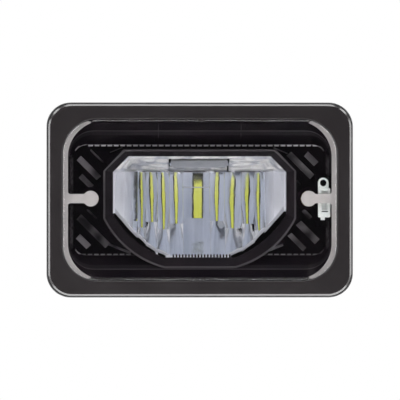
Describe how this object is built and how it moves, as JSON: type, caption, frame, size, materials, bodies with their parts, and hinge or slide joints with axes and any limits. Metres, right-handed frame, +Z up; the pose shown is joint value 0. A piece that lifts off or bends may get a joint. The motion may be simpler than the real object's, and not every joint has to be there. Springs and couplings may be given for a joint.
{
  "type": "fog light",
  "caption": "Rectangular sealed LED vehicle lamp with a heated clear lens, gloss black bezel, fluted mirror reflector, finned housing and rear spade terminals.",
  "frame": {"origin": "centre of the flange's flat rear seating face, on the lamp's centre line", "axes": "+X to the right seen from the front, +Z up, the lamp shines along -Y, terminals at +Y"},
  "size_m": [0.165, 0.0958, 0.105],
  "materials": {
    "housing_cast": "black powder coat over die casting, fine texture",
    "frame_black": "satin black moulding",
    "lens_clear": "clear hard-coated polycarbonate",
    "heater_clear": "transparent conductive film",
    "silver_ink": "printed silver, satin",
    "seal_rubber": "black silicone, matt",
    "bezel_gloss": "gloss black moulding",
    "mirror_metal": "vacuum-metallised mirror",
    "screw_steel": "zinc plated",
    "spreader_aluminium": "bare rolled sheet",
    "pad_grey": "grey silicone thermal pad",
    "board_white": "white solder mask",
    "package_black": "black package frame",
    "phosphor": "yellow phosphor in clear silicone",
    "shield_grey": "grey satin coat",
    "sensor_white": "natural white nylon",
    "contact_brass": "machined, nickel flash",
    "spring_steel": "drawn spring wire",
    "board_green": "green solder mask",
    "ferrite": "dark grey ferrite core",
    "can_metal": "sleeved capacitor can",
    "transistor_black": "black epoxy package",
    "cover_plastic": "fine textured black plastic",
    "terminal_plastic": "dark grey glass-filled nylon",
    "terminal_brass": "tin-brushed brass",
    "lead_sleeve": "silicone wire sleeve",
    "vent_plastic": "black breather cap"
  },
  "bodies": {
    "root": {"housing": "housing_cast", "lens_frame": "frame_black", "lens": "lens_clear", "heater_film": "heater_clear", "busbar_left": "silver_ink", "busbar_right": "silver_ink", "lens_seal": "seal_rubber", "inner_bezel": "bezel_gloss", "reflector": "mirror_metal", "reflector_screws": "screw_steel", "frame_screws": "screw_steel", "heat_spreader": "spreader_aluminium", "thermal_pad": "pad_grey", "spreader_screws": "screw_steel", "led_board_screws": "screw_steel", "led_board": "board_white", "led_package": "package_black", "led_phosphor": "phosphor", "led_shield": "shield_grey", "temperature_sensor": "sensor_white", "contact_barrel_left": "contact_brass", "contact_barrel_right": "contact_brass", "contact_spring_left": "spring_steel", "contact_spring_right": "spring_steel", "contact_plug_left": "contact_brass", "contact_plug_right": "contact_brass", "driver_board": "board_green", "driver_inductor": "ferrite", "driver_capacitors": "can_metal", "driver_transistor": "transistor_black", "driver_screws": "screw_steel", "rear_cover": "cover_plastic", "cover_seal": "seal_rubber", "cover_screws": "screw_steel", "terminal_block": "terminal_plastic", "terminal_seal": "seal_rubber", "terminal_ground": "terminal_brass", "terminal_low_beam": "terminal_brass", "terminal_high_beam": "terminal_brass", "breather_vent": "vent_plastic", "lead_grommets": "seal_rubber", "led_lead": "lead_sleeve", "heater_lead_left": "lead_sleeve", "heater_lead_right": "lead_sleeve", "sensor_lead": "lead_sleeve"},
    "plunger_left": {"contact_plunger_left": "contact_brass"},
    "plunger_right": {"contact_plunger_right": "contact_brass"}
  },
  "joints": [
    {"name": "contact_press_left", "type": "slide", "parent": "root", "child": "plunger_left", "axis": [0, 1, 0], "range_m": [0, 0.0015], "stiffness_N_per_m": 400, "springref_m": -0.002, "deforming": ["contact_spring_left"]},
    {"name": "contact_press_right", "type": "slide", "parent": "root", "child": "plunger_right", "axis": [0, 1, 0], "range_m": [0, 0.0015], "stiffness_N_per_m": 400, "springref_m": -0.002, "deforming": ["contact_spring_right"]}
  ]
}
